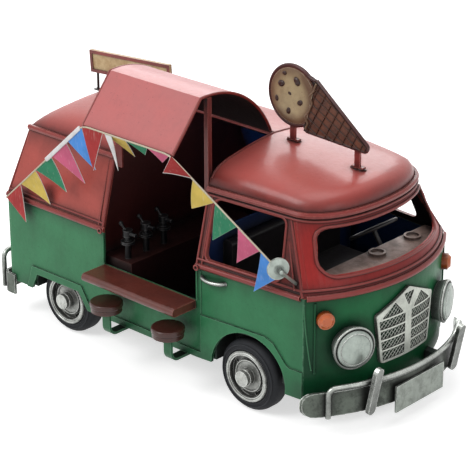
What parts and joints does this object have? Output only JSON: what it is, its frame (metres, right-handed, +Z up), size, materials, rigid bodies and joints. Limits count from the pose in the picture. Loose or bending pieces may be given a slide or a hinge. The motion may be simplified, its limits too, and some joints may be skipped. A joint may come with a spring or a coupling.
{
  "type": "tin model ice-cream van",
  "caption": "Painted tin model of a vintage ice-cream van with a raised lid, serving counter, stools, bunting, roof signs and free-rolling wheels.",
  "frame": {"origin": "on the ground under the centre of the whole outline", "axes": "+X forward, +Y to the van's left, +Z up"},
  "size_m": [0.2815, 0.1641, 0.185],
  "materials": {
    "red_paint": "aged satin enamel on tin plate, dusty on top and dark in the folds",
    "green_paint": "aged satin enamel on tin plate, darker low on the nose",
    "dark_green_paint": "thin dark enamel on the underside",
    "brown_paint": "brown enamel with worn edges",
    "silver_paint": "silver paint with a dark wash",
    "blue_paint": "dark blue enamel",
    "black_paint": "black enamel",
    "orange_lamp": "glossy orange enamel",
    "red_lamp": "glossy red enamel",
    "cream_paint": "cream enamel in a brown frame",
    "pennant_paint": "red, yellow, green, pink and blue enamel on thin tin",
    "string": "twisted pale string",
    "axle_steel": "plain wire axle",
    "tyre_rubber": "dull dark grey rubber"
  },
  "bodies": {
    "root": {"side_upper_right": "red_paint", "side_upper_left": "red_paint", "tail_upper": "red_paint", "cab_side_right": "red_paint", "cab_side_left": "red_paint", "screen_frame": "red_paint", "cab_roof": "red_paint", "rear_roof": "red_paint", "left_roof": "red_paint", "drip_rail": "red_paint", "waist_bead": "red_paint", "lid": "red_paint", "lid_struts": "red_paint", "rear_partition": "red_paint", "cone_legs": "red_paint", "side_lower_right": "green_paint", "side_lower_left": "green_paint", "nose_panel": "green_paint", "tail_lower": "green_paint", "stool_brackets": "green_paint", "floor_pan": "dark_green_paint", "bumper_irons": "dark_green_paint", "counter": "brown_paint", "stool_seats": "brown_paint", "cabinet": "brown_paint", "cone_sign": "brown_paint", "taps": "silver_paint", "dashboard": "silver_paint", "front_blade": "silver_paint", "front_rail": "silver_paint", "overriders": "silver_paint", "number_plate": "silver_paint", "tail_blade": "silver_paint", "tail_rail": "silver_paint", "headlamp_rims": "silver_paint", "headlamp_lenses": "silver_paint", "grille": "silver_paint", "door_handles": "silver_paint", "side_mirror": "silver_paint", "cab_bulkhead": "blue_paint", "bench_seat": "black_paint", "steering_wheel": "black_paint", "board_legs": "black_paint", "turn_lamps": "orange_lamp", "tail_lamps": "red_lamp", "roof_board": "cream_paint", "pennants": "pennant_paint", "bunting_string": "string", "axle_front": "axle_steel", "axle_rear": "axle_steel"},
    "wheel_body_front_right": {"tyre_front_right": "tyre_rubber", "wheel_front_right": "silver_paint"},
    "wheel_body_front_left": {"tyre_front_left": "tyre_rubber", "wheel_front_left": "silver_paint"},
    "wheel_body_rear_right": {"tyre_rear_right": "tyre_rubber", "wheel_rear_right": "silver_paint"},
    "wheel_body_rear_left": {"tyre_rear_left": "tyre_rubber", "wheel_rear_left": "silver_paint"}
  },
  "joints": [
    {"name": "roll_front_right", "type": "hinge", "parent": "root", "child": "wheel_body_front_right", "pos_m": [0.0665, -0.04905, 0.0215], "axis": [0, 1, 0], "continuous": true},
    {"name": "roll_front_left", "type": "hinge", "parent": "root", "child": "wheel_body_front_left", "pos_m": [0.0665, 0.06995, 0.0215], "axis": [0, 1, 0], "continuous": true},
    {"name": "roll_rear_right", "type": "hinge", "parent": "root", "child": "wheel_body_rear_right", "pos_m": [-0.0835, -0.04785, 0.0215], "axis": [0, 1, 0], "continuous": true},
    {"name": "roll_rear_left", "type": "hinge", "parent": "root", "child": "wheel_body_rear_left", "pos_m": [-0.0835, 0.06875, 0.0215], "axis": [0, 1, 0], "continuous": true}
  ]
}
